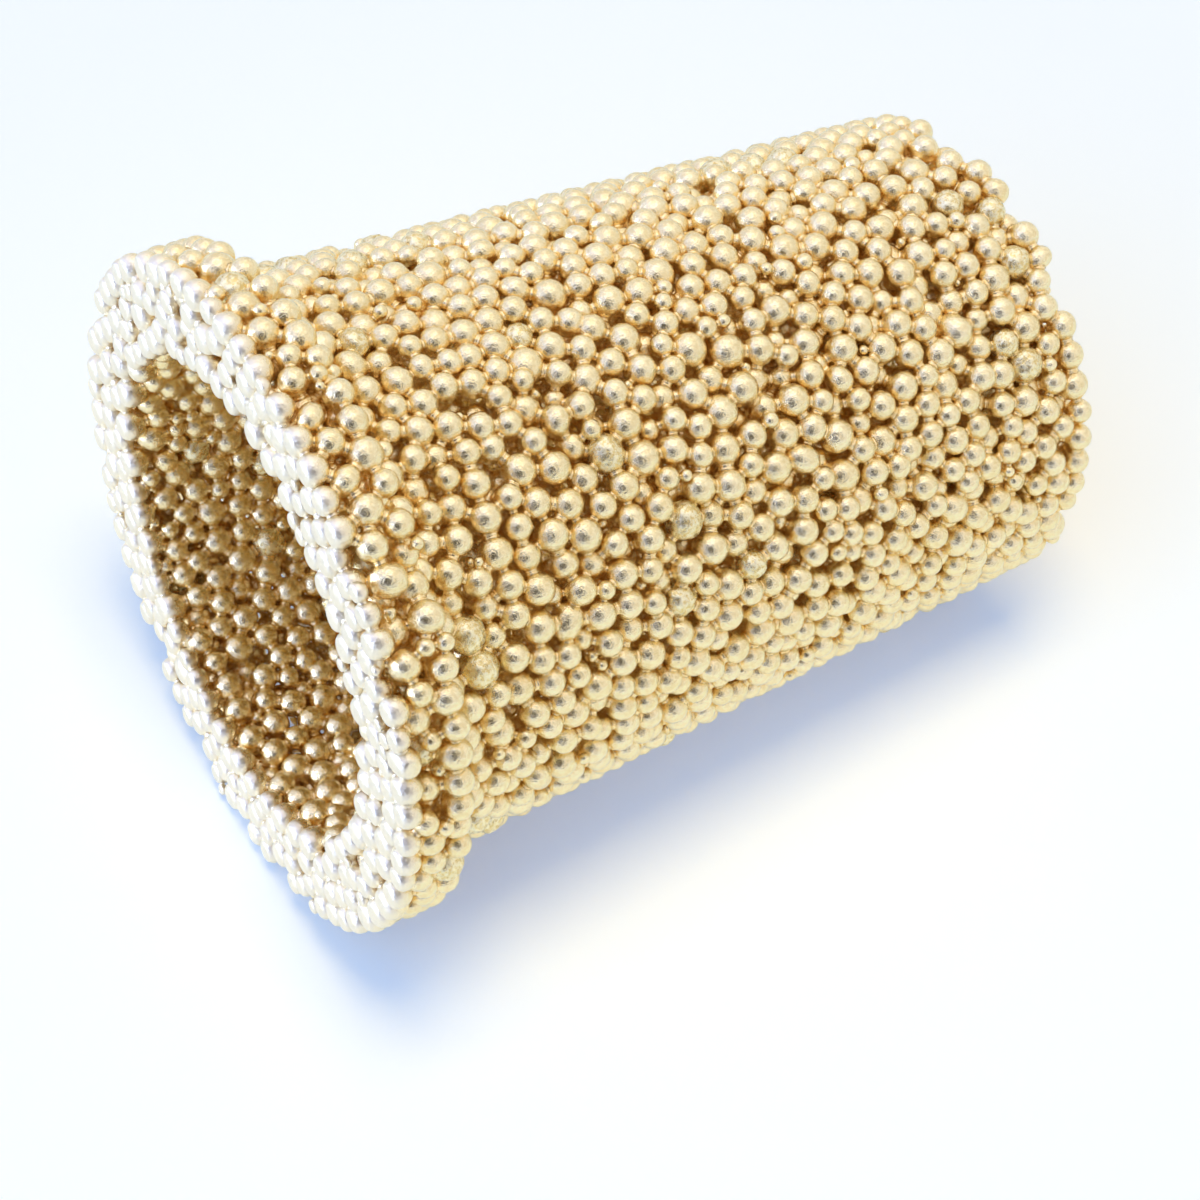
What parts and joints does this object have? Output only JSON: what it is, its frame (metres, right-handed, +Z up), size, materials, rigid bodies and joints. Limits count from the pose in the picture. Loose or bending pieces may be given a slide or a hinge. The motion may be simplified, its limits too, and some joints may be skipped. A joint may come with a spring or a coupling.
{
  "type": "sintered metal filter cup",
  "caption": "Round flanged cup with a slightly tapered barrel and a closed end, its wall made of small metal balls sintered together so that fluid passes between them.",
  "frame": {"origin": "on the table, under the middle of the cup's box, with the cup lying on its side", "axes": "+X from the open flange to the closed end, level with the table; +Z up; the cup's own axis slopes 6.59 degrees down towards +X because the closed end is smaller than the flange"},
  "size_m": [0.0452, 0.034, 0.0342],
  "materials": {
    "sintered_bronze": "bright pale bronze balls, satin, with orange-brown light between them"
  },
  "bodies": {
    "root": {"flange_face_beads": "sintered_bronze", "flange_core_beads": "sintered_bronze", "flange_back_beads": "sintered_bronze", "barrel_outer_beads": "sintered_bronze", "barrel_bore_beads": "sintered_bronze", "end_outer_beads": "sintered_bronze", "end_inner_beads": "sintered_bronze"}
  },
  "joints": []
}
